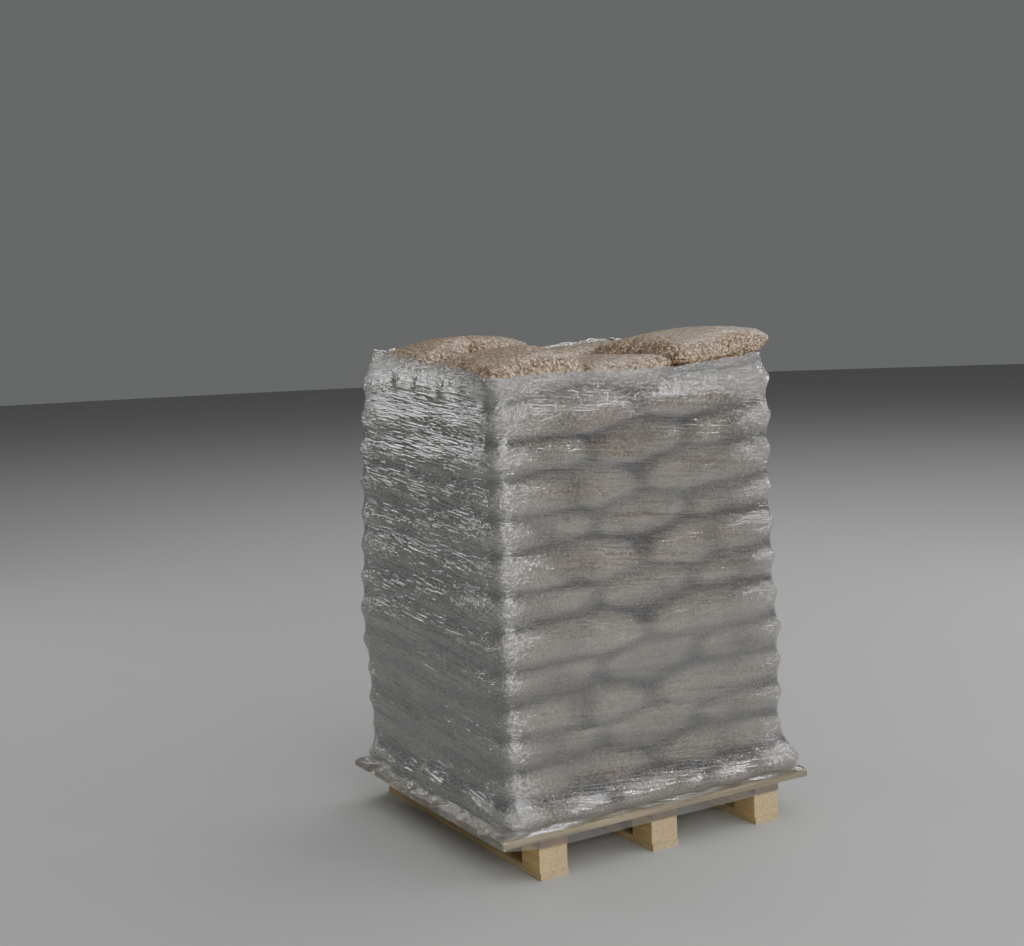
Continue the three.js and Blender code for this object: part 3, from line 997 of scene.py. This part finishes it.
def sawn_pine(name, grain_axis, pale, dark):
    material, tree = new_material(name)
    place = add_node(tree, "ShaderNodeTexCoord").outputs["Object"]
    scale = [1 / GRAIN] * 3
    scale[grain_axis] = 1 / (GRAIN * GRAIN_STRETCH)
    stretched = add_node(tree, "ShaderNodeMapping", {"Scale": scale}, {"Vector": place}).outputs[0]
    grain = add_node(tree, "ShaderNodeTexNoise",
                     {"Scale": 1.0, "Detail": 4.0, "Roughness": 0.55, "Distortion": 0.4},
                     {"Vector": stretched}).outputs[0]
    blotch = add_node(tree, "ShaderNodeTexNoise", {"Scale": BLOTCHES_PER_METRE, "Detail": 3.0},
                      {"Vector": place}).outputs[0]
    tone = add_node(tree, "ShaderNodeValToRGB", links={"Fac": grain})
    tone.color_ramp.elements[0].position = 0.3
    tone.color_ramp.elements[0].color = linear(dark)
    tone.color_ramp.elements[1].position = 0.62
    tone.color_ramp.elements[1].color = linear(pale)
    weather = add_node(tree, "ShaderNodeMapRange",
                       {"From Min": 0.35, "From Max": 0.75, "To Min": 0.0, "To Max": 0.45},
                       {"Value": blotch})
    colour = add_node(tree, "ShaderNodeMix", {"data_type": "RGBA", "B": linear(WEATHERED_PINE)},
                      {"Factor": weather.outputs[0], "A": tone.outputs[0]})
    fuzz = add_node(tree, "ShaderNodeTexNoise", {"Scale": FUZZ_PER_METRE, "Detail": 2.0},
                    {"Vector": place}).outputs[0]
    sawn = add_node(tree, "ShaderNodeMix", {"Factor": 0.35}, {"A": grain, "B": fuzz})
    rough = add_node(tree, "ShaderNodeBump", {"Strength": 0.5, "Distance": SAW_MARKS},
                     {"Height": sawn.outputs[0]})
    dry = add_node(tree, "ShaderNodeMapRange", {"To Min": 0.65, "To Max": 0.95}, {"Value": grain})
    wood = add_node(tree, "ShaderNodeBsdfPrincipled", {"IOR": PINE_IOR},
                    {"Base Color": colour.outputs[2], "Roughness": dry.outputs[0],
                     "Normal": rough.outputs[0]})
    add_node(tree, "ShaderNodeOutputMaterial", links={"Surface": wood.outputs[0]})
    return material


ALONG_X, ALONG_Y = 0, 1
deck_pine = sawn_pine("sawn_pine_deck", ALONG_X, "#dccba3", "#b8a27c")
runner_pine = sawn_pine("sawn_pine_runner", ALONG_Y, "#c9b489", "#a58a5e")
block_pine = sawn_pine("sawn_pine_block", ALONG_Y, "#d0b686", "#b4955c")
# Painted shade: the stringers get a darker, pinker pine for the shadow they sit in under the deck's
# edge.
stringer_pine_shaded = sawn_pine("sawn_pine_stringer_shaded", ALONG_Y, "#bb9f85", "#97785f")


def finish_timber():
    finishes = {"deck_board": deck_pine, "skid": runner_pine,
                "block": block_pine, "stringer": stringer_pine_shaded}
    count = 0
    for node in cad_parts:
        for start, material in finishes.items():
            if node.startswith(start):
                mesh = bpy.data.objects[node].data
                mesh.materials.clear()
                mesh.materials.append(material)
                count += 1
    return count


print("timber pieces finished:", finish_timber())

# %% [markdown]
# ## Floor, light and camera
#
# A pale floor and one large soft lamp overhead, as in a photo studio. Film shows itself by its
# glints, and a glint needs a small bright lamp to mirror. Long strip lamps stand where the front
# corner, the left face and the right end of the front mirror them to the camera, and two more
# high up behind the load draw the strokes on the top sacks. The camera stands as for the
# reference picture: 1.66 m up, a little left of the load.

# %% Floor
FLOOR_GREY = "#a9aaa8"
FLOOR_RADIUS = 40


def floor_mesh():
    floor = bmesh.new()
    bmesh.ops.create_circle(floor, cap_ends=True, segments=96, radius=FLOOR_RADIUS)
    mesh = bpy.data.meshes.new("floor")
    floor.to_mesh(mesh)
    floor.free()
    return mesh


def floor_material():
    material, tree = new_material("pale_floor")
    matt = add_node(tree, "ShaderNodeBsdfPrincipled",
                    {"Base Color": linear(FLOOR_GREY), "Roughness": 0.8})
    add_node(tree, "ShaderNodeOutputMaterial", links={"Surface": matt.outputs[0]})
    return material


floor = bpy.data.objects.new("floor", floor_mesh())
floor.data.materials.append(floor_material())
bpy.context.scene.collection.objects.link(floor)
print("floor laid")

# %% Lights
MIDDLE = (0, 0, 0.9)
STUDIO_GREY, STUDIO_STRENGTH = "#d8dadb", 0.2
LAMPS = [
    ("overhead", (2.5, -3, 9), (24, 24), 1650),
    ("front_strip_1", (-1.3, -6.2, 1.3), (5.4, 0.25), 70),
    ("front_strip_2", (-1.3, -6.2, 2.2), (5.4, 0.25), 70),
    ("front_strip_3", (-1.3, -6.2, 3.2), (5.4, 0.25), 70),
    ("left_strip_1", (-3.3, 5.2, 2.5), (1.6, 0.3), 18),
    ("left_strip_2", (-3.3, 5.2, 3.3), (1.6, 0.3), 22),
    ("left_strip_3", (-3.3, 5.2, 4.2), (1.6, 0.3), 24),
    ("right_strip", (5.6, -3.8, 3.3), (3.0, 0.3), 55),
    ("right_glint", (3.6, -5.4, 3.9), (0.3, 0.5), 30),
    ("side_glint", (6.0, 0.3, 2.4), (0.3, 1.2), 45),
    ("high_strip_1", (6.0, 3.5, 5.5), (4.0, 0.15), 55),
    ("high_strip_2", (6.0, 3.5, 8.5), (4.0, 0.15), 55),
]


def add_lamp(name, place, size, power):
    lamp = bpy.data.lights.new(name, "AREA")
    lamp.shape = "RECTANGLE"
    lamp.size, lamp.size_y = size
    lamp.energy = power
    holder = bpy.data.objects.new(name, lamp)
    holder.location = place
    holder.rotation_euler = (Vector(place) - Vector(MIDDLE)).to_track_quat("Z", "Y").to_euler()
    holder.visible_camera = False
    bpy.context.scene.collection.objects.link(holder)


for name, place, size, power in LAMPS:
    add_lamp(name, place, size, power)
world = bpy.data.worlds.new("studio")
world.use_nodes = True
world.node_tree.nodes["Background"].inputs["Color"].default_value = linear(STUDIO_GREY)
world.node_tree.nodes["Background"].inputs["Strength"].default_value = STUDIO_STRENGTH
bpy.context.scene.world = world
print("lamps:", len(LAMPS))

# %% Camera
EYE = Vector((-2.6692, -3.9199, 1.6597))
YAW, PITCH, ROLL = 0.480, 0.071, -0.044
FOCAL_PIXELS = 1380.97
PHOTO = (1024, 946)
CENTRE = (398.6, 432.9)


def camera_axes():
    level = math.cos(PITCH)
    look = Vector((math.sin(YAW) * level, math.cos(YAW) * level, -math.sin(PITCH)))
    right = Vector((math.cos(YAW), -math.sin(YAW), 0))
    up = right.cross(look)
    return (
        math.cos(ROLL) * right + math.sin(ROLL) * up,
        math.cos(ROLL) * up - math.sin(ROLL) * right,
        -look,
    )


lens = bpy.data.cameras.new("camera")
lens.lens = FOCAL_PIXELS / PHOTO[0] * lens.sensor_width
lens.shift_x = 0.5 - CENTRE[0] / PHOTO[0]
lens.shift_y = (CENTRE[1] - PHOTO[1] / 2) / PHOTO[0]
camera = bpy.data.objects.new("camera", lens)
camera.matrix_world = Matrix.Translation(EYE) @ Matrix(camera_axes()).transposed().to_4x4()
bpy.context.scene.collection.objects.link(camera)
bpy.context.scene.camera = camera
print("lens", round(lens.lens, 2), "mm, shift", round(lens.shift_x, 4), round(lens.shift_y, 4))
